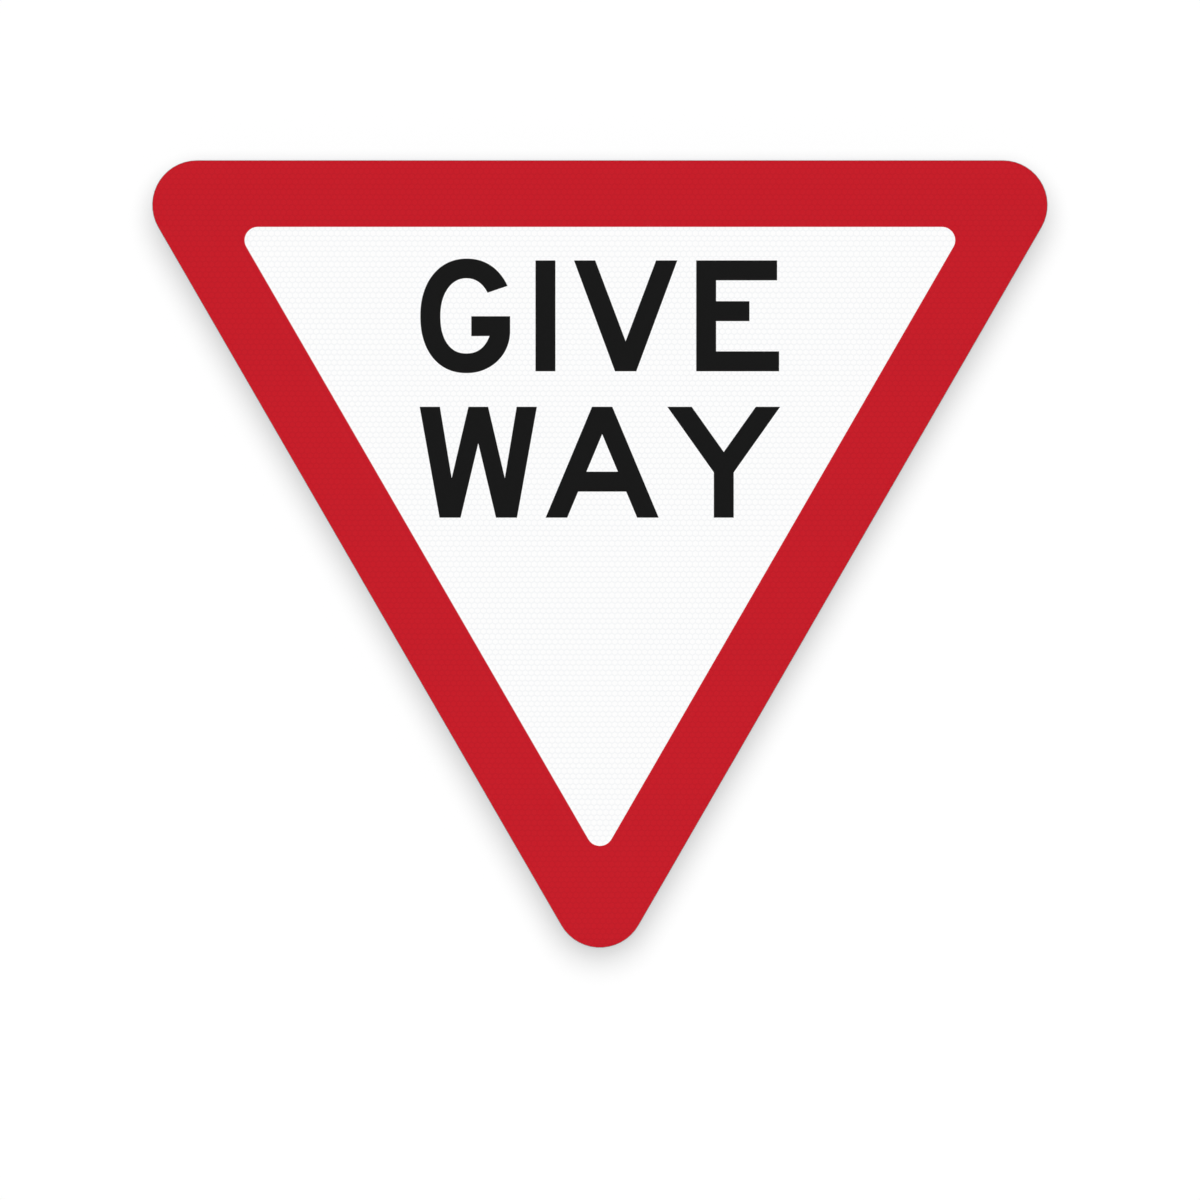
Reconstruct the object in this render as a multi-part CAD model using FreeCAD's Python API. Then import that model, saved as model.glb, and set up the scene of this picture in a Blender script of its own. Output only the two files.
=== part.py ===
import FreeCAD, Part
import math
import os

# A give way sign: a triangular road sign that stands on its point, as it is fixed to a post.
# A flat aluminium plate carries white reflective sheeting with a red border film on its face.
# No fixing comes through the face, so two extruded rails are bonded behind it with foam tape,
# and the bolt heads of the post clips slide into their slots.
#
# Millimetres. X is to the right of someone who reads the sign, Z is up, and the face looks
# along -Y. The origin is the middle of the upper rail's slot, in the plane of both rails'
# outer faces, where the clip on the post bears.

# The plate
PLATE_WIDTH = 900.0  # across the roundings of the two upper corners
PLATE_CORNER_RADIUS = 45.0
PLATE_THICKNESS = 2.0
PLATE_EDGE_BREAK = 0.3  # the deburring chamfer along both edges

# What lies on its face
FILM_SETBACK = 0.2  # bare metal between the chamfer and the films
WHITE_SHEETING_THICKNESS = 0.4
RED_FILM_THICKNESS = 0.15
BORDER_WIDTH = 67.0  # from the plate's edge to the white window
WINDOW_CORNER_RADIUS = 13.4

# Where the rails lie
UPPER_RAIL_DROP = 115.0  # from the plate's top edge to the upper rail's centreline
RAIL_PITCH = 350.0  # between the two centrelines
RAIL_END_INSET = 30.0  # from a rail's end to the sloping edge of the plate

# The rail's section, which takes the 13 mm hexagon head of an M8 bolt
RAIL_BASE_WIDTH = 40.0
RAIL_BASE_THICKNESS = 2.0
RAIL_WALL = 2.2
RAIL_LIP_THICKNESS = 2.4
CHANNEL_WIDTH = 13.6  # a head across its flats, and running room
CHANNEL_DEPTH = 6.5
SLOT_WIDTH = 9.0
RAIL_ROOT_RADIUS = 1.2  # where a wall meets the base
RAIL_SHOULDER_RADIUS = 1.0  # outer corners beside the slot
RAIL_EDGE_RADIUS = 0.5  # all the other corners of the section

# The tape under each rail
TAPE_WIDTH = 25.0
TAPE_THICKNESS = 1.1
TAPE_END_INSET = 3.0  # from a rail's end to the tape's

# The outline is an equilateral triangle that stands on a corner
CORNER_TURN = 120.0  # degrees by which it turns at each corner
EDGE_COSINE = math.cos(math.radians(30))  # of how far its lower edges lean from upright

# The radius of the circle that touches the plate's three straight edges
CORNER_CENTRE_REACH = (PLATE_WIDTH / 2 - PLATE_CORNER_RADIUS) / EDGE_COSINE
PLATE_INRADIUS = CORNER_CENTRE_REACH / 2 + PLATE_CORNER_RADIUS
MIDDLE_Z = UPPER_RAIL_DROP - PLATE_INRADIUS

# The layers, counted from the rails' outer faces at y = 0 towards the reader
RAIL_DEPTH = RAIL_BASE_THICKNESS + CHANNEL_DEPTH + RAIL_LIP_THICKNESS
RAIL_FOOT_Y = -RAIL_DEPTH
PLATE_BACK_Y = RAIL_FOOT_Y - TAPE_THICKNESS
PLATE_FRONT_Y = PLATE_BACK_Y - PLATE_THICKNESS
SHEETING_FRONT_Y = PLATE_FRONT_Y - WHITE_SHEETING_THICKNESS

TOUCH = 1e-6  # how near a point has to be to a plane to count as on it


def point(x, y, z):
    return FreeCAD.Vector(x, y, z)


def on_circle(centre, radius, degrees):
    """A point of a circle in an upright plane, at an angle from +X towards +Z."""
    angle = math.radians(degrees)
    return centre + point(radius * math.cos(angle), 0, radius * math.sin(angle))


def rounded_triangle(inradius, corner_radius, y):
    """The outline of an equilateral triangle on its point, its corners rounded, in the plane y.

    Every outline on the sign has the same middle, so inradius alone gives its size. An arc's
    centre lies twice as far from the middle as from the two edges that the arc joins.
    """
    middle = point(0, y, MIDDLE_Z)
    arcs = []
    for number in range(3):
        direction = number * CORNER_TURN - 90  # the first corner points straight down
        centre = on_circle(middle, 2 * (inradius - corner_radius), direction)
        first, top, last = (
            on_circle(centre, corner_radius, direction + turn)
            for turn in (-CORNER_TURN / 2, 0, CORNER_TURN / 2)
        )
        arcs.append((first, top, last))
    edges = []
    for number, (first, top, last) in enumerate(arcs):
        edges.append(Part.Arc(first, top, last).toShape())
        next_first = arcs[(number + 1) % len(arcs)][0]
        edges.append(Part.LineSegment(last, next_first).toShape())
    return Part.Wire(edges)


def half_width_at(z):
    """Half the width of the plate between its sloping edges, at a height z."""
    return (PLATE_INRADIUS + (z - MIDDLE_Z) / 2) / EDGE_COSINE


def sign_plate():
    """The blank: a flat sheet cut to the outline, its two edges broken."""
    outline = rounded_triangle(PLATE_INRADIUS, PLATE_CORNER_RADIUS, PLATE_FRONT_Y)
    blank = Part.Face(outline).extrude(point(0, PLATE_THICKNESS, 0))
    rims = [
        edge
        for edge in blank.Edges
        if abs(edge.BoundBox.YMin - edge.BoundBox.YMax) < TOUCH
    ]
    return blank.makeChamfer(PLATE_EDGE_BREAK, rims)


def film(thickness, back_y, window=None):
    """A film over the plate's whole face, trimmed short of its chamfer, with or without a window."""
    trim = PLATE_EDGE_BREAK + FILM_SETBACK
    outline = rounded_triangle(PLATE_INRADIUS - trim, PLATE_CORNER_RADIUS - trim, back_y)
    sheet = Part.Face(outline)
    if window:
        sheet = sheet.cut(Part.Face(window))
    return sheet.Faces[0].extrude(point(0, -thickness, 0))


def white_sheeting():
    return film(WHITE_SHEETING_THICKNESS, PLATE_FRONT_Y)


def red_border():
    """The transparent red film, cut out over the white field."""
    window = rounded_triangle(
        PLATE_INRADIUS - BORDER_WIDTH, WINDOW_CORNER_RADIUS, SHEETING_FRONT_Y
    )
    return film(RED_FILM_THICKNESS, SHEETING_FRONT_Y, window)


def rounded_profile(corners, x):
    """A closed outline in the plane x, through (y, z, radius) corners, each rounded by an arc."""
    count = len(corners)
    places = [point(x, y, z) for y, z, _ in corners]
    arcs = []
    for number, (y, z, radius) in enumerate(corners):
        here = places[number]
        to_last = (places[number - 1] - here).normalize()
        to_next = (places[(number + 1) % count] - here).normalize()
        half_angle = to_last.getAngle(to_next) / 2
        inwards = (to_last + to_next).normalize()
        start = here + to_last * (radius / math.tan(half_angle))
        end = here + to_next * (radius / math.tan(half_angle))
        middle = here + inwards * (radius / math.sin(half_angle) - radius)
        arcs.append((start, middle, end))
    edges = []
    for number, (start, middle, end) in enumerate(arcs):
        edges.append(Part.Arc(start, middle, end).toShape())
        edges.append(Part.LineSegment(end, arcs[(number + 1) % count][0]).toShape())
    return Part.Wire(edges)


def rail_section(x, z):
    """The extruded section: a flat foot with a lipped channel on it, open towards the post."""
    floor = RAIL_FOOT_Y + RAIL_BASE_THICKNESS
    slot = SLOT_WIDTH / 2
    channel = CHANNEL_WIDTH / 2
    outside = channel + RAIL_WALL
    foot = RAIL_BASE_WIDTH / 2
    upper_half = [
        (floor, channel, RAIL_EDGE_RADIUS),
        (-RAIL_LIP_THICKNESS, channel, RAIL_EDGE_RADIUS),
        (-RAIL_LIP_THICKNESS, slot, RAIL_EDGE_RADIUS),
        (0, slot, RAIL_EDGE_RADIUS),
        (0, outside, RAIL_SHOULDER_RADIUS),
        (floor, outside, RAIL_ROOT_RADIUS),
        (floor, foot, RAIL_EDGE_RADIUS),
        (RAIL_FOOT_Y, foot, RAIL_EDGE_RADIUS),
    ]
    lower_half = [(y, -height, radius) for y, height, radius in reversed(upper_half)]
    corners = [(y, z + height, radius) for y, height, radius in upper_half + lower_half]
    return Part.Face(rounded_profile(corners, x))


def rail_half_length(z):
    """Half the length of a rail whose centreline is at z: its foot's lower edge sets it."""
    return half_width_at(z - RAIL_BASE_WIDTH / 2) - RAIL_END_INSET


def rail(z):
    half = rail_half_length(z)
    return rail_section(-half, z).extrude(point(2 * half, 0, 0))


def rail_tape(z):
    """The strip of foam tape that bonds a rail to the plate."""
    half = rail_half_length(z) - TAPE_END_INSET
    corner = point(-half, PLATE_BACK_Y, z - TAPE_WIDTH / 2)
    return Part.makeBox(2 * half, TAPE_THICKNESS, TAPE_WIDTH, corner)


def main():
    upper_z = 0
    lower_z = -RAIL_PITCH
    nodes = {
        "sign_plate": sign_plate(),
        "white_sheeting": white_sheeting(),
        "red_border": red_border(),
        "upper_rail": rail(upper_z),
        "lower_rail": rail(lower_z),
        "upper_rail_tape": rail_tape(upper_z),
        "lower_rail_tape": rail_tape(lower_z),
    }
    os.makedirs("parts", exist_ok=True)
    for name, shape in nodes.items():
        shape.exportStep(f"parts/{name}.step")
        box = shape.BoundBox
        print(
            f"{name}: {box.XLength:.1f} x {box.YLength:.2f} x {box.ZLength:.1f} mm,"
            f" {len(shape.Solids)} solid, valid {shape.isValid()}, {shape.Volume / 1000:.1f} cm3"
        )


main()
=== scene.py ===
import math

import bpy
import numpy as np
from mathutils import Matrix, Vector
from mathutils.geometry import tessellate_polygon


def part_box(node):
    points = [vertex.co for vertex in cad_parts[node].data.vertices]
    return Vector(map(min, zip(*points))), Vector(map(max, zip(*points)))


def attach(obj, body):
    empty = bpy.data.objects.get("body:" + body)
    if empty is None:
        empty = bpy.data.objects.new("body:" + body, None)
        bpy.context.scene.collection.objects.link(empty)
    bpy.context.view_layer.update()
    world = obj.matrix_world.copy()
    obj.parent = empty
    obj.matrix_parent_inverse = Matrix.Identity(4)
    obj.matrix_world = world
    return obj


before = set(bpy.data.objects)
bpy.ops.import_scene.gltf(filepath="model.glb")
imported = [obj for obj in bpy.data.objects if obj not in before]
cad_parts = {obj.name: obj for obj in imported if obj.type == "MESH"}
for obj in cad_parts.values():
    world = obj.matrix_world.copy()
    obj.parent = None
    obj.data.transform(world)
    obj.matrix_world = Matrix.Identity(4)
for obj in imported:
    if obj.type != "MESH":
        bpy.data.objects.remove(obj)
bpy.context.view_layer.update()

# A give way sign, seen square on in front of a white wall. This script gives its solids their
# finishes, cuts the seven letters of its legend from black film, and sets up the stage, the lamps
# and the camera.
# Metres, in the sign's own frame: X to the reader's right, Z up, the face looking along -Y.

MM = 0.001

# The photograph's frame, and where the sign's outline lies in it, in pixels
PHOTO_SIDE_PX = 1200
PHOTO_LEFT_PX = 152.1
PHOTO_RIGHT_PX = 1047.65
PHOTO_TOP_PX = 160.2

# The sheeting's front, which the letters lie on, and the plate's reach
FACE_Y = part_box("white_sheeting")[0].y
PLATE_LOW, PLATE_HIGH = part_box("sign_plate")
SIGN_MIDDLE = (PLATE_LOW + PLATE_HIGH) / 2

# The legend, in millimetres: two lines of capitals of one height and one stroke
CAP_HEIGHT = 111.4
STROKE = 20.0
FIRST_BASELINE = 212.1  # below the plate's top edge, as the second is
SECOND_BASELINE = 359.2
LETTER_FILM = 0.15  # as thick as the red film
CURVE_POINTS = 49  # on each stretch of a round letter
SAME_POINT = 0.01  # two points nearer than this are one, where two stretches meet

# The patterns of the finishes, in millimetres, with three values where X, Y and Z differ
SHEETING_CELL = 6.0  # really 3.5: drawn coarser, or no render would show it
SHEETING_SEAM = 0.9  # from a seam's middle to where the even cell starts
ROLLING_LINE = (350.0, 3.0, 3.0)  # really 0.2 across, and drawn coarser for the same reason
ROUTER_MARK = (4.0, 0.4, 4.0)  # along the rim
DIE_LINE = (600.0, 1.5, 1.5)  # really 0.3 across
SAW_MARK = (1.0, 5.0, 0.5)  # level, across a rail's end
HANDLING_CLOUD = 70.0
VINYL_PEEL = 2.2
FOAM_CELL = 0.5  # really 0.2

# The stage, in metres, and the camera
WALL_GAP = 0.031  # behind the rails
FLOOR_DROP = 0.36  # below the plate's lowest point, just out of the photograph's frame
PAPER_HALF_SIDE = 5.0
DOME_RADIUS = 5.0
DOME_RINGS = 24
DOME_FIRST_RING = 3.0  # degrees off its axis
DOME_SIDES = 60
DOME_BLACK_FROM = 0.7  # black where it is more of its radius than this in front of the sign
LENS_MM = 200.0
SENSOR_MM = 36.0

# The light. A glow of 1 shows white.
WALL_GLOW = 0.393
FLOOR_GLOW = 0.84
DOME_RIM_GLOW = 0.35
FILL_GLOW = 0.12
DIFFUSER_WAY = (0, -3.0, 0.72)  # from the sign: in front and a little above
DIFFUSER_STRENGTH = 3.05
DIFFUSER_SPREAD = 0.6  # its radius over its distance


# Meshes


def mesh_piece(name, points, faces, material):
    """An object from an array of points and lists of corner numbers, its place in its mesh."""
    mesh = bpy.data.meshes.new(name)
    mesh.from_pydata(points.tolist(), [], faces)
    mesh.materials.append(material)
    mesh.update()
    piece = bpy.data.objects.new(name, mesh)
    bpy.context.scene.collection.objects.link(piece)
    return piece


def panel(name, centre, half_width, half_height, facing, material):
    """A flat rectangle that faces the given way, its upper edge level."""
    corners = np.array([(-1, -1, 0), (1, -1, 0), (1, 1, 0), (-1, 1, 0)])
    turn = np.array(Vector(facing).to_track_quat("Z", "Y").to_matrix())
    points = (corners * (half_width, half_height, 0)) @ turn.T + centre
    return mesh_piece(name, points, [[0, 1, 2, 3]], material)


# Materials


def linear(hex_colour):
    """An sRGB hex colour as linear red, green, blue and alpha."""
    channels = [int(hex_colour[i : i + 2], 16) / 255 for i in (1, 3, 5)]
    return (*(c / 12.92 if c <= 0.04045 else ((c + 0.055) / 1.055) ** 2.4 for c in channels), 1.0)


def add(tree, kind, inputs, **settings):
    """Adds a node. inputs gives sockets, by name or number, a value or another node's output.

    Numbers stand where several sockets share a name. A Mix node's are 0, its factor, then 2 and 3
    for numbers, 4 and 5 for vectors or 6 and 7 for colours, with the results 0, 1 and 2. A Map
    Range node's are 0, its value, 1 and 2, the value's span, and 3 and 4, what that span becomes.
    """
    node = tree.nodes.new(kind)
    for name, value in settings.items():
        setattr(node, name, value)
    for key, value in inputs.items():
        if isinstance(value, bpy.types.NodeSocket):
            tree.links.new(value, node.inputs[key])
        else:
            node.inputs[key].default_value = value
    return node.outputs


NOISE_SPAN = {1: 0.3, 2: 0.7}  # most of a noise texture's values lie in this span


def new_material(name, sockets):
    """A material with one Principled shader, and that shader's tree and inputs."""
    material = bpy.data.materials.new(name)
    material.use_nodes = True
    shader = material.node_tree.nodes["Principled BSDF"]
    for key, value in sockets.items():
        shader.inputs[key].default_value = value
    return material, material.node_tree, shader.inputs


def in_pattern(tree, pitch):
    """Object coordinates counted in a pattern's pitch, in millimetres: one, or one for each axis."""
    place = add(tree, "ShaderNodeTexCoord", {})["Object"]
    scale = 1 / (MM * np.broadcast_to(pitch, 3))
    return add(tree, "ShaderNodeVectorMath", {0: place, 1: scale}, operation="MULTIPLY")[0]


def looks_along(tree, axes):
    """1 where a face looks within 45 degrees of the axes that have a 1, and 0 elsewhere."""
    facing = add(tree, "ShaderNodeNewGeometry", {})["Normal"]
    part = add(tree, "ShaderNodeVectorMath", {0: facing, 1: axes}, operation="MULTIPLY")[0]
    length = add(tree, "ShaderNodeVectorMath", {0: part}, operation="LENGTH")["Value"]
    return add(tree, "ShaderNodeMath", {0: length, 1: math.sqrt(0.5)}, operation="GREATER_THAN")[0]


def honeycomb(tree, cell, seam):
    """1 on the seams of a hexagonal lattice in the plane of the face, and 0 inside its cells.

    The cells' centres are two rectangular lattices, 1 by root 3 cells, one shifted by half of both.
    From the nearer centre, the larger of |x| and |x| / 2 + |z| root 3 / 2 is 1/2 on a cell's edge.
    """
    place = add(tree, "ShaderNodeSeparateXYZ", {0: in_pattern(tree, cell)})
    flat = add(tree, "ShaderNodeCombineXYZ", {0: place[0], 1: place[2]})[0]
    half = (0.5, math.sqrt(3) / 2, 0.5)
    other_half = tuple(-h for h in half)
    shifted = add(tree, "ShaderNodeVectorMath", {0: flat, 1: half}, operation="ADD")[0]
    from_centre = [
        add(tree, "ShaderNodeVectorMath", {0: spot, 1: half, 2: other_half}, operation="WRAP")[0]
        for spot in (flat, shifted)
    ]
    reach = [
        add(tree, "ShaderNodeVectorMath", {0: way}, operation="LENGTH")["Value"]
        for way in from_centre
    ]
    choice = add(tree, "ShaderNodeMath", {0: reach[1], 1: reach[0]}, operation="LESS_THAN")[0]
    nearest = add(
        tree,
        "ShaderNodeMix",
        {0: choice, 4: from_centre[0], 5: from_centre[1]},
        data_type="VECTOR",
    )[1]
    nearest = add(tree, "ShaderNodeVectorMath", {0: nearest}, operation="ABSOLUTE")[0]
    slanted = add(
        tree,
        "ShaderNodeVectorMath",
        {0: nearest, 1: (0.5, math.sqrt(3) / 2, 0)},
        operation="DOT_PRODUCT",
    )["Value"]
    level = add(tree, "ShaderNodeSeparateXYZ", {0: nearest})[0]
    edge = add(tree, "ShaderNodeMath", {0: level, 1: slanted}, operation="MAXIMUM")[0]
    return add(
        tree,
        "ShaderNodeMapRange",
        {0: edge, 1: 0.5 - seam / cell, 2: 0.5},
        interpolation_type="SMOOTHSTEP",
    )[0]


def reflective_film(name, cell_hex, seam_hex):
    """Prismatic reflective sheeting: air-backed prisms sealed in a honeycomb under clear acrylic.

    The seams lie a little deeper and darker than the cells, the face is even from a step away, and
    all its gloss is that of the acrylic over it, clear and slightly uneven.
    """
    material, tree, shader = new_material(
        name,
        {
            "Roughness": 0.5,
            "Specular IOR Level": 0.0,
            "Coat Weight": 1.0,
            "Coat Roughness": 0.09,
            "Coat IOR": 1.49,
        },
    )
    seams = honeycomb(tree, SHEETING_CELL, SHEETING_SEAM)
    colour = add(
        tree,
        "ShaderNodeMix",
        {0: seams, 6: linear(cell_hex), 7: linear(seam_hex)},
        data_type="RGBA",
    )[2]
    sunk = add(
        tree,
        "ShaderNodeBump",
        {"Strength": 0.25, "Distance": 0.05 * MM, "Height": seams},
        invert=True,
    )[0]
    tree.links.new(colour, shader["Base Color"])
    tree.links.new(sunk, shader["Normal"])
    tree.links.new(sunk, shader["Coat Normal"])
    return material


def white_sheeting():
    """The base sheeting: an even white, a trace darker on its seams."""
    return reflective_film("white_prismatic_sheeting", "#FAFAFA", "#F1F2F3")


def red_film():
    """Transparent red acrylic film: the white sheeting's honeycomb shows through it."""
    return reflective_film("red_film_over_sheeting", "#C41B27", "#BD1825")


def black_vinyl():
    """Cast vinyl film, satin: it lies flat, with the faint orange peel of its carrier."""
    material, tree, shader = new_material(
        "satin_black_vinyl",
        {"Base Color": linear("#161616"), "Roughness": 0.42, "IOR": 1.46},
    )
    peel = add(tree, "ShaderNodeTexNoise", {0: in_pattern(tree, VINYL_PEEL), "Scale": 1.0})[0]
    uneven = add(tree, "ShaderNodeBump", {"Strength": 0.2, "Distance": 0.02 * MM, "Height": peel})[0]
    tree.links.new(uneven, shader["Normal"])
    return material


def mill_aluminium(name, colour_hex, grain_pitch, cut_axes, cut_pitch):
    """Bare aluminium as it leaves the mill: a soft sheen, drawn out and streaked along its grain.

    cut_axes has a 1 for each axis that its cut faces look along. They show the marks of the cutter
    in place of the grain. Handling leaves a faint cloud on all of it.
    """
    material, tree, shader = new_material(name, {"Metallic": 1.0, "Anisotropic": 0.5})
    grain = add(
        tree, "ShaderNodeTexNoise", {0: in_pattern(tree, grain_pitch), "Scale": 1.0, "Detail": 4.0}
    )[0]
    marks = add(tree, "ShaderNodeTexNoise", {0: in_pattern(tree, cut_pitch), "Scale": 1.0})[0]
    cloud = add(tree, "ShaderNodeTexNoise", {0: in_pattern(tree, HANDLING_CLOUD), "Scale": 1.0})[0]
    relief = add(tree, "ShaderNodeMix", {0: looks_along(tree, cut_axes), 2: grain, 3: marks})[0]
    rough = add(tree, "ShaderNodeMapRange", {0: relief, **NOISE_SPAN, 3: 0.27, 4: 0.42})[0]
    tint = add(tree, "ShaderNodeMapRange", {0: cloud, **NOISE_SPAN, 3: 0.93, 4: 1.0})[0]
    streak = add(tree, "ShaderNodeMapRange", {0: relief, **NOISE_SPAN, 3: 0.9, 4: 1.0})[0]
    shade = add(tree, "ShaderNodeMath", {0: tint, 1: streak}, operation="MULTIPLY")[0]
    colour = add(
        tree,
        "ShaderNodeVectorMath",
        {0: linear(colour_hex)[:3], "Scale": shade},
        operation="SCALE",
    )[0]
    # One vector across the grain serves all the faces along X, as no flat one looks that way
    across = add(tree, "ShaderNodeCombineXYZ", {0: 0.0, 1: 0.8, 2: 0.6})[0]
    uneven = add(tree, "ShaderNodeBump", {"Strength": 0.12, "Distance": 0.03 * MM, "Height": relief})[0]
    tree.links.new(colour, shader["Base Color"])
    tree.links.new(rough, shader["Roughness"])
    tree.links.new(across, shader["Tangent"])
    tree.links.new(uneven, shader["Normal"])
    return material


def plate_aluminium():
    """Rolled 2 mm sheet: fine lines along X, and a routed rim."""
    return mill_aluminium("mill_aluminium_sheet", "#C6C9CC", ROLLING_LINE, (1, 0, 1), ROUTER_MARK)


def rail_aluminium():
    """Extruded section: die lines along X, and sawn ends."""
    return mill_aluminium("extruded_aluminium", "#DCDEE0", DIE_LINE, (1, 0, 0), SAW_MARK)


def foam_tape():
    """Closed-cell acrylic foam: dark grey and matt, its fine cells open where it was slit."""
    material, tree, shader = new_material("acrylic_foam", {"Roughness": 0.85, "IOR": 1.47})
    cells = add(tree, "ShaderNodeTexVoronoi", {0: in_pattern(tree, FOAM_CELL), "Scale": 1.0})[0]
    colour = add(
        tree,
        "ShaderNodeMix",
        {0: cells, 6: linear("#34363A"), 7: linear("#54565A")},
        data_type="RGBA",
    )[2]
    open_cells = add(tree, "ShaderNodeBump", {"Strength": 0.6, "Distance": 0.1 * MM, "Height": cells})[0]
    tree.links.new(colour, shader["Base Color"])
    tree.links.new(open_cells, shader["Normal"])
    return material


def finish_solids():
    """Gives each solid its finish."""
    sheet, rail, foam = plate_aluminium(), rail_aluminium(), foam_tape()
    finishes = {
        "sign_plate": sheet,
        "white_sheeting": white_sheeting(),
        "red_border": red_film(),
        "upper_rail": rail,
        "lower_rail": rail,
        "upper_rail_tape": foam,
        "lower_rail_tape": foam,
    }
    for node, material in finishes.items():
        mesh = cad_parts[node].data
        mesh.materials.clear()
        mesh.materials.append(material)


# The legend. An outline is an array of x and z in millimetres that runs anticlockwise, or
# clockwise round a hole. z counts from the baseline, and x from the left edge of the G and the E
# and from the middle of the others. Straight strokes are one STROKE wide, square to themselves.


def leaning(run, rise):
    """How wide a stroke that leans by run over rise is, measured level."""
    return STROKE * math.hypot(run, rise) / rise


def both_sides(right):
    """A closed outline from its right half, which runs anticlockwise; the left half mirrors it."""
    right = np.array(right, float)
    off_axis = right[right[:, 0] > 0]
    return np.vstack((right, off_axis[::-1] * (-1, 1)))


def oval(centre, half_width, half_height, fullness, start, end):
    """A stretch of a superellipse |x / a| ** n + |z / b| ** n = 1, a little fuller than an ellipse.

    At the angle t, in degrees from the right and anticlockwise, x = a |cos t| ** (2 / n) and
    z = b |sin t| ** (2 / n), each with its own sign.
    """
    t = np.radians(np.linspace(start, end, CURVE_POINTS))
    x = half_width * np.sign(np.cos(t)) * np.abs(np.cos(t)) ** (2 / fullness)
    z = half_height * np.sign(np.sin(t)) * np.abs(np.sin(t)) ** (2 / fullness)
    return np.column_stack((centre[0] + x, centre[1] + z))


def outline_g():
    """An oval band, open on the right, with a spur and a level bar.

    The bowl is a little fuller below than above, and runs into the spur with no corner.
    """
    middle = CAP_HEIGHT / 2
    bowl_x, bowl_half_height = 46.7, 57.5
    spur_x, spur_foot, bar_x, bar_top = 90.2, 40.5, 51.2, 55.3
    outside = (bowl_x, middle), bowl_x, bowl_half_height
    spur = (bowl_x, spur_foot), spur_x - bowl_x, spur_foot - (middle - bowl_half_height)
    inside = (46.3, middle), 26.2, 37.8
    outline = np.vstack(
        (
            oval(*outside, fullness=2.15, start=29.9, end=180),
            oval(*outside, fullness=2.22, start=180, end=270),
            oval(*spur, fullness=2.04, start=270, end=360),
            [(spur_x, bar_top), (bar_x, bar_top), (bar_x, bar_top - STROKE)],
            oval(*inside, fullness=2.28, start=330.6, end=180),
            oval(*inside, fullness=2.12, start=180, end=36.7),
        )
    )
    step = np.linalg.norm(outline - np.roll(outline, 1, axis=0), axis=1)
    return [outline[step > SAME_POINT]]


def outline_i():
    """One upright stroke."""
    return [both_sides([(STROKE / 2, 0), (STROKE / 2, CAP_HEIGHT)])]


def outline_v():
    """Two leaning strokes that meet over a flat foot."""
    half_foot, half_top, crotch = 10.7, 51.9, 30.2
    inner_top = half_top - leaning(half_top - half_foot, CAP_HEIGHT)
    return [
        both_sides([(half_foot, 0), (half_top, CAP_HEIGHT), (inner_top, CAP_HEIGHT), (0, crotch)])
    ]


def outline_e():
    """A stem and three arms, each of its own length."""
    foot, waist, top = 83.3, 53.5, 81.3
    waist_low = 50.4
    waist_high = waist_low + STROKE
    arm_low = CAP_HEIGHT - STROKE
    return [
        np.array(
            [
                (0, 0), (foot, 0), (foot, STROKE), (STROKE, STROKE),
                (STROKE, waist_low), (waist, waist_low), (waist, waist_high), (STROKE, waist_high),
                (STROKE, arm_low), (top, arm_low), (top, CAP_HEIGHT), (0, CAP_HEIGHT),
            ]
        )
    ]


def outline_w():
    """Four leaning strokes, with two flat feet and a flat peak between them."""
    half_top, foot_outer, foot_inner, half_peak = 58.9, 38.9, 17.8, 9.9
    peak_underside, valley_x, valley = 74.7, 26.7, 39.7
    inner_top = half_top - leaning(half_top - foot_outer, CAP_HEIGHT)
    return [
        both_sides(
            [
                (0, peak_underside), (foot_inner, 0), (foot_outer, 0), (half_top, CAP_HEIGHT),
                (inner_top, CAP_HEIGHT), (valley_x, valley), (half_peak, CAP_HEIGHT),
            ]
        )
    ]


def outline_a():
    """The two legs' inner edges run parallel to the outer ones and meet over the crossbar."""
    half_apex, half_foot, bar_low = 10.2, 56.8, 26.2
    slope = (half_foot - half_apex) / CAP_HEIGHT
    inner_foot = half_foot - leaning(slope, 1)
    bar_high = bar_low + STROKE
    outer = [
        (inner_foot - slope * bar_low, bar_low), (inner_foot, 0),
        (half_foot, 0), (half_apex, CAP_HEIGHT),
    ]
    counter = [(inner_foot - slope * bar_high, bar_high), (0, inner_foot / slope)]
    return [both_sides(outer), both_sides(counter)[::-1]]


def outline_y():
    """Two leaning arms that meet on an upright stem."""
    half_top, fork = 56.7, 45.5
    slope = (half_top - STROKE / 2) / (CAP_HEIGHT - fork)
    inner_top = half_top - leaning(slope, 1)
    return [
        both_sides(
            [
                (STROKE / 2, 0), (STROKE / 2, fork), (half_top, CAP_HEIGHT),
                (inner_top, CAP_HEIGHT), (0, CAP_HEIGHT - inner_top / slope),
            ]
        )
    ]


# Each letter's outlines, the place of its x = 0 from the sign's centreline, and its baseline
LEGEND = {
    "letter_g": (outline_g(), -180.4, FIRST_BASELINE),
    "letter_i": (outline_i(), -54.7, FIRST_BASELINE),
    "letter_v": (outline_v(), 25.9, FIRST_BASELINE),
    "letter_e": (outline_e(), 96.8, FIRST_BASELINE),
    "letter_w": (outline_w(), -122.2, SECOND_BASELINE),
    "letter_a": (outline_a(), 2.3, SECOND_BASELINE),
    "letter_y": (outline_y(), 124.5, SECOND_BASELINE),
}


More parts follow.
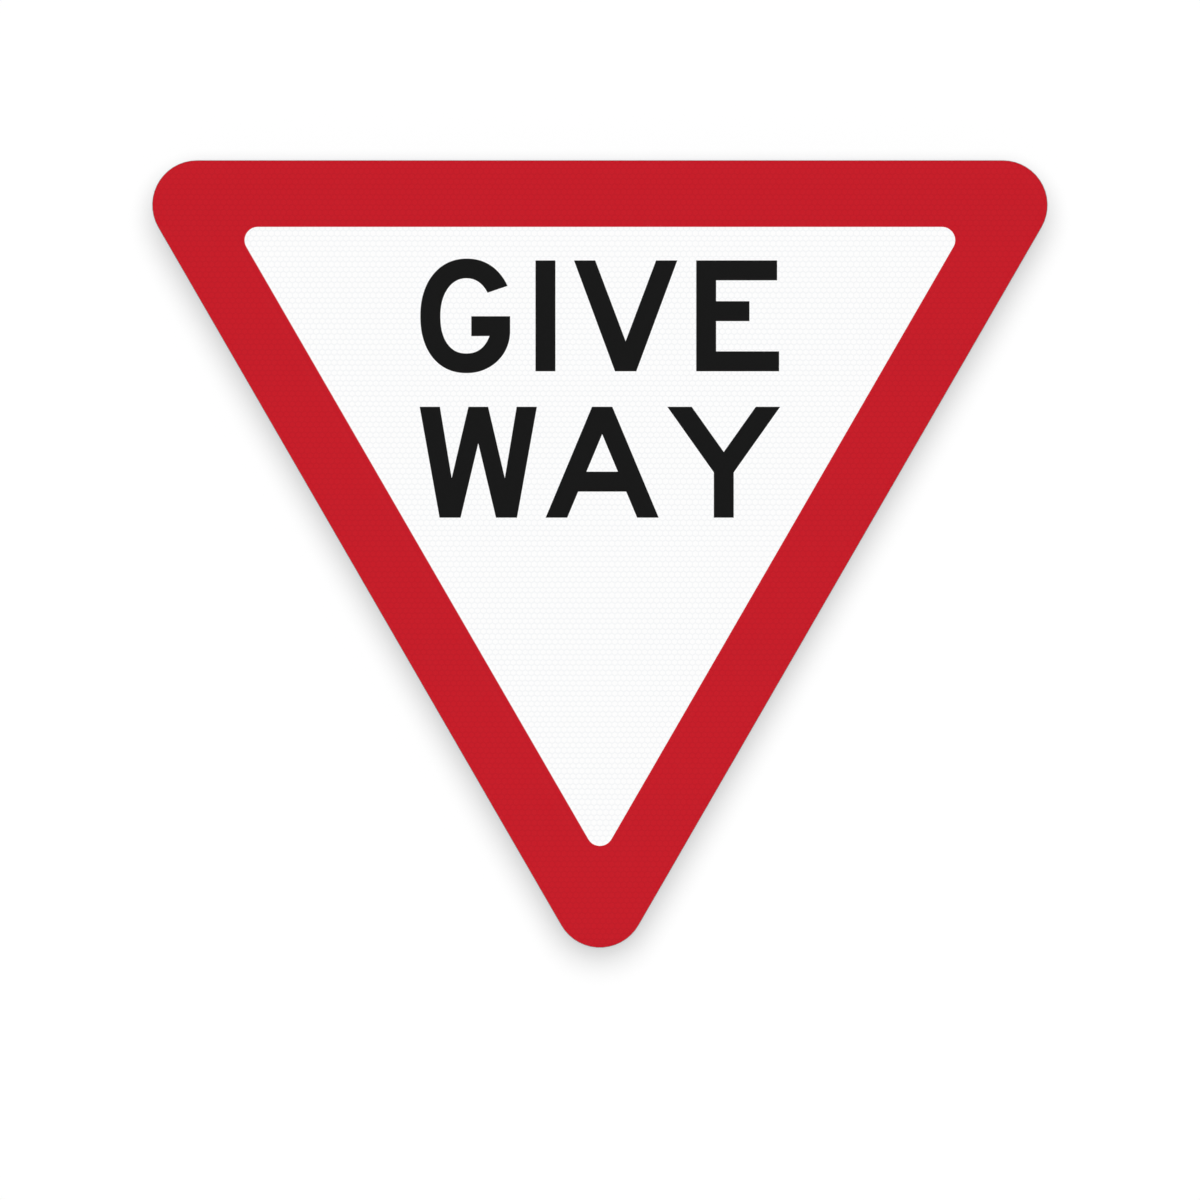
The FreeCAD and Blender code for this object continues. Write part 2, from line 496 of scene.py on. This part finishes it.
def film_letter(name, outlines, datum_x, baseline, material):
    """A letter cut from film: its outlines filled, front and back, with a wall round each one.

    Point i of the front has its twin on the back at i plus the number of points, so a wall's
    quads join each point and the next of its outline to their twins.
    """
    placed = [outline + (datum_x, -baseline) for outline in outlines]
    flat = np.vstack(placed) * MM + (SIGN_MIDDLE.x, PLATE_HIGH.z)
    count = len(flat)
    front = np.column_stack((flat[:, 0], np.full(count, FACE_Y - LETTER_FILM * MM), flat[:, 1]))
    back = front + (0, LETTER_FILM * MM, 0)
    fill = np.array(tessellate_polygon([np.pad(outline, ((0, 0), (0, 1))) for outline in placed]))
    # A triangle faces the reader where it runs anticlockwise, and those that don't are turned
    a, b, c = (flat[fill[:, i]] for i in range(3))
    turn = (b - a)[:, 0] * (c - a)[:, 1] - (b - a)[:, 1] * (c - a)[:, 0]
    fill[turn < 0] = fill[turn < 0][:, ::-1]
    faces = fill.tolist() + (fill[:, ::-1] + count).tolist()
    start = 0
    for outline in placed:
        here = start + np.arange(len(outline))
        after = np.roll(here, -1)
        faces += np.column_stack((here, here + count, after + count, after)).tolist()
        start += len(outline)
    piece = mesh_piece(name, np.vstack((front, back)), faces, material)
    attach(piece, "root")


def make_legend():
    """Lays the seven letters on the white sheeting."""
    vinyl = black_vinyl()
    for name, (outlines, datum_x, baseline) in LEGEND.items():
        film_letter(name, outlines, datum_x, baseline, vinyl)


# The stage


def shown_background(tree):
    """1 for the rays that show a background: a camera's, and those off or through the object.

    It is 0 for those that light the paper by way of the sign's bright back.
    """
    path = add(tree, "ShaderNodeLightPath", {})
    total = path["Is Camera Ray"]
    for kind in ("Is Glossy Ray", "Is Transmission Ray"):
        total = add(tree, "ShaderNodeMath", {0: total, 1: path[kind]}, operation="MAXIMUM")[0]
    seen = add(tree, "ShaderNodeMath", {0: path["Diffuse Depth"], 1: 0.5}, operation="LESS_THAN")[0]
    return add(tree, "ShaderNodeMath", {0: total, 1: seen}, operation="MULTIPLY")[0]


def glowing_material(name):
    """A material with no node yet, whose glow isn't sampled as a lamp is, and its tree."""
    material = bpy.data.materials.new(name)
    material.use_nodes = True
    material.node_tree.nodes.clear()
    material.cycles.emission_sampling = "NONE"
    return material, material.node_tree


def matt_white(name, glow):
    """Paper that shows white where the lamp reaches it and keeps the sign's soft shadow.

    glow makes up for what the lamp leaves short of white. The paper is clear from behind, so that
    the sign can be seen past it.
    """
    material, tree = glowing_material(name)
    paper = add(tree, "ShaderNodeBsdfDiffuse", {"Color": linear("#C8C8C8")})[0]
    shown = add(tree, "ShaderNodeMath", {0: shown_background(tree), 1: glow}, operation="MULTIPLY")[0]
    light = add(tree, "ShaderNodeEmission", {"Strength": shown})[0]
    front = add(tree, "ShaderNodeAddShader", {0: paper, 1: light})[0]
    clear = add(tree, "ShaderNodeBsdfTransparent", {})[0]
    behind = add(tree, "ShaderNodeNewGeometry", {})["Backfacing"]
    sided = add(tree, "ShaderNodeMixShader", {0: behind, 1: front, 2: clear})[0]
    add(tree, "ShaderNodeOutputMaterial", {"Surface": sided})
    return material


def make_wall_and_floor():
    """The wall close behind the sign and the floor under it, as wide as any view needs."""
    for name, height, facing, glow in (
        ("paper_wall", SIGN_MIDDLE.z, (0, -1, 0), WALL_GLOW),
        ("paper_floor", PLATE_LOW.z - FLOOR_DROP, (0, 0, 1), FLOOR_GLOW),
    ):
        centre = (SIGN_MIDDLE.x, WALL_GAP, height)
        sheet = panel(name, centre, PAPER_HALF_SIDE, PAPER_HALF_SIDE, facing, matt_white(name, glow))
        sheet.visible_shadow = sheet.visible_diffuse = sheet.visible_glossy = False


def only_in_reflections(piece):
    """Makes a piece of the stage show in reflections and nowhere else."""
    piece.visible_camera = piece.visible_diffuse = piece.visible_shadow = False


def make_cards():
    """Two black cards behind the sign, which give the bare metal an edge."""
    material, _, _ = new_material(
        "black_card",
        {"Base Color": linear("#000000"), "Roughness": 1.0, "Specular IOR Level": 0.0},
    )
    for name, centre, half_width, half_height, facing in (
        ("low_back_card", (-0.6, 2.0, -2.5), 2.6, 1.2, (0, -1, 0.7)),
        ("side_back_card", (3.0, 1.3, 0.0), 0.8, 2.0, (-1, -0.45, 0)),
    ):
        only_in_reflections(panel(name, centre, half_width, half_height, facing, material))


def make_dome():
    """A half sphere in front of the sign, black in its middle and dim at its rim.

    It keeps the depth of colour of the glossy face, and gives it a sheen where it is seen aslant.
    At the angle t off the -Y axis, its rings have the radius R sin t and lie R cos t in front of
    the sign, s runs round them, and one face closes the innermost.
    """
    t = np.radians(np.linspace(DOME_FIRST_RING, 90, DOME_RINGS))[:, None]
    s = np.radians(np.linspace(0, 360, DOME_SIDES, endpoint=False))[None, :]
    x = np.sin(t) * np.cos(s)
    y = -np.cos(t) * np.ones_like(s)
    z = np.sin(t) * np.sin(s)
    points = np.stack((x, y, z), axis=-1).reshape(-1, 3) * DOME_RADIUS + SIGN_MIDDLE
    here = np.arange(len(points)).reshape(x.shape)
    beside = np.roll(here, -1, axis=1)
    corners = (here[:-1], here[1:], beside[1:], beside[:-1])
    faces = np.stack(corners, axis=-1).reshape(-1, 4).tolist() + [here[0].tolist()]
    material, tree = glowing_material("dim_dome")
    place = add(tree, "ShaderNodeTexCoord", {})["Object"]
    depth = add(tree, "ShaderNodeSeparateXYZ", {0: place})[1]
    black_from = -DOME_BLACK_FROM * DOME_RADIUS
    glow = add(tree, "ShaderNodeMapRange", {0: depth, 1: black_from, 2: 0.0, 4: DOME_RIM_GLOW})[0]
    light = add(tree, "ShaderNodeEmission", {"Strength": glow})[0]
    add(tree, "ShaderNodeOutputMaterial", {"Surface": light})
    only_in_reflections(mesh_piece("front_dome", points, faces, material))


# The lamps, the world and the camera


def new_lamp(kind, name, place, strength):
    """A lamp that shines on the middle of the sign and that no camera sees."""
    data = bpy.data.lights.new(name, kind)
    data.energy = strength
    lamp = bpy.data.objects.new(name, data)
    lamp.location = place
    lamp.rotation_euler = (SIGN_MIDDLE - Vector(place)).to_track_quat("-Z", "Y").to_euler()
    lamp.visible_camera = False
    bpy.context.scene.collection.objects.link(lamp)
    return lamp


def make_lamps():
    """Even light through a great diffuser in front, and two round softboxes for the back.

    The diffuser is a little above, which brings the soft shadow out under the sign. Reflections
    show the dome in its place.
    """
    front = new_lamp("SUN", "front_diffuser", SIGN_MIDDLE + Vector(DIFFUSER_WAY), DIFFUSER_STRENGTH)
    front.data.angle = 2 * math.atan(DIFFUSER_SPREAD)
    front.visible_glossy = False
    for name, place, size, watts in (
        ("back_softbox_left", (-2.4, 2.6, 1.2), 1.2, 12),
        ("back_softbox_right", (2.6, 2.8, 0.5), 0.9, 6),
    ):
        softbox = new_lamp("AREA", name, place, watts)
        softbox.data.shape = "DISK"
        softbox.data.size = size


def make_world():
    """White to the camera and in reflections, and a dim even fill for everything else."""
    world = bpy.data.worlds.new("studio")
    bpy.context.scene.world = world
    world.use_nodes = True
    tree = world.node_tree
    tree.nodes.clear()
    white = linear("#FFFFFF")
    fill = add(tree, "ShaderNodeBackground", {"Color": white, "Strength": FILL_GLOW})[0]
    background = add(tree, "ShaderNodeBackground", {"Color": white, "Strength": 1.0})[0]
    mixed = add(tree, "ShaderNodeMixShader", {0: shown_background(tree), 1: fill, 2: background})[0]
    add(tree, "ShaderNodeOutputWorld", {"Surface": mixed})


def make_camera():
    """Square on to the face, as far off as puts the sign where the photograph has it."""
    metres_per_px = (PLATE_HIGH.x - PLATE_LOW.x) / (PHOTO_RIGHT_PX - PHOTO_LEFT_PX)
    frame_side = PHOTO_SIDE_PX * metres_per_px
    data = bpy.data.cameras.new("camera")
    data.lens = LENS_MM
    data.sensor_width = SENSOR_MM
    camera = bpy.data.objects.new("camera", data)
    off_centre_px = PHOTO_SIDE_PX / 2 - (PHOTO_LEFT_PX + PHOTO_RIGHT_PX) / 2
    camera.location = (
        SIGN_MIDDLE.x + off_centre_px * metres_per_px,
        FACE_Y - frame_side * LENS_MM / SENSOR_MM,
        PLATE_HIGH.z - (PHOTO_SIDE_PX / 2 - PHOTO_TOP_PX) * metres_per_px,
    )
    camera.rotation_euler = (math.pi / 2, 0, 0)
    bpy.context.scene.collection.objects.link(camera)
    bpy.context.scene.camera = camera


make_camera()
finish_solids()
make_legend()
make_wall_and_floor()
make_cards()
make_dome()
make_lamps()
make_world()
bpy.context.scene.view_settings.view_transform = "Standard"
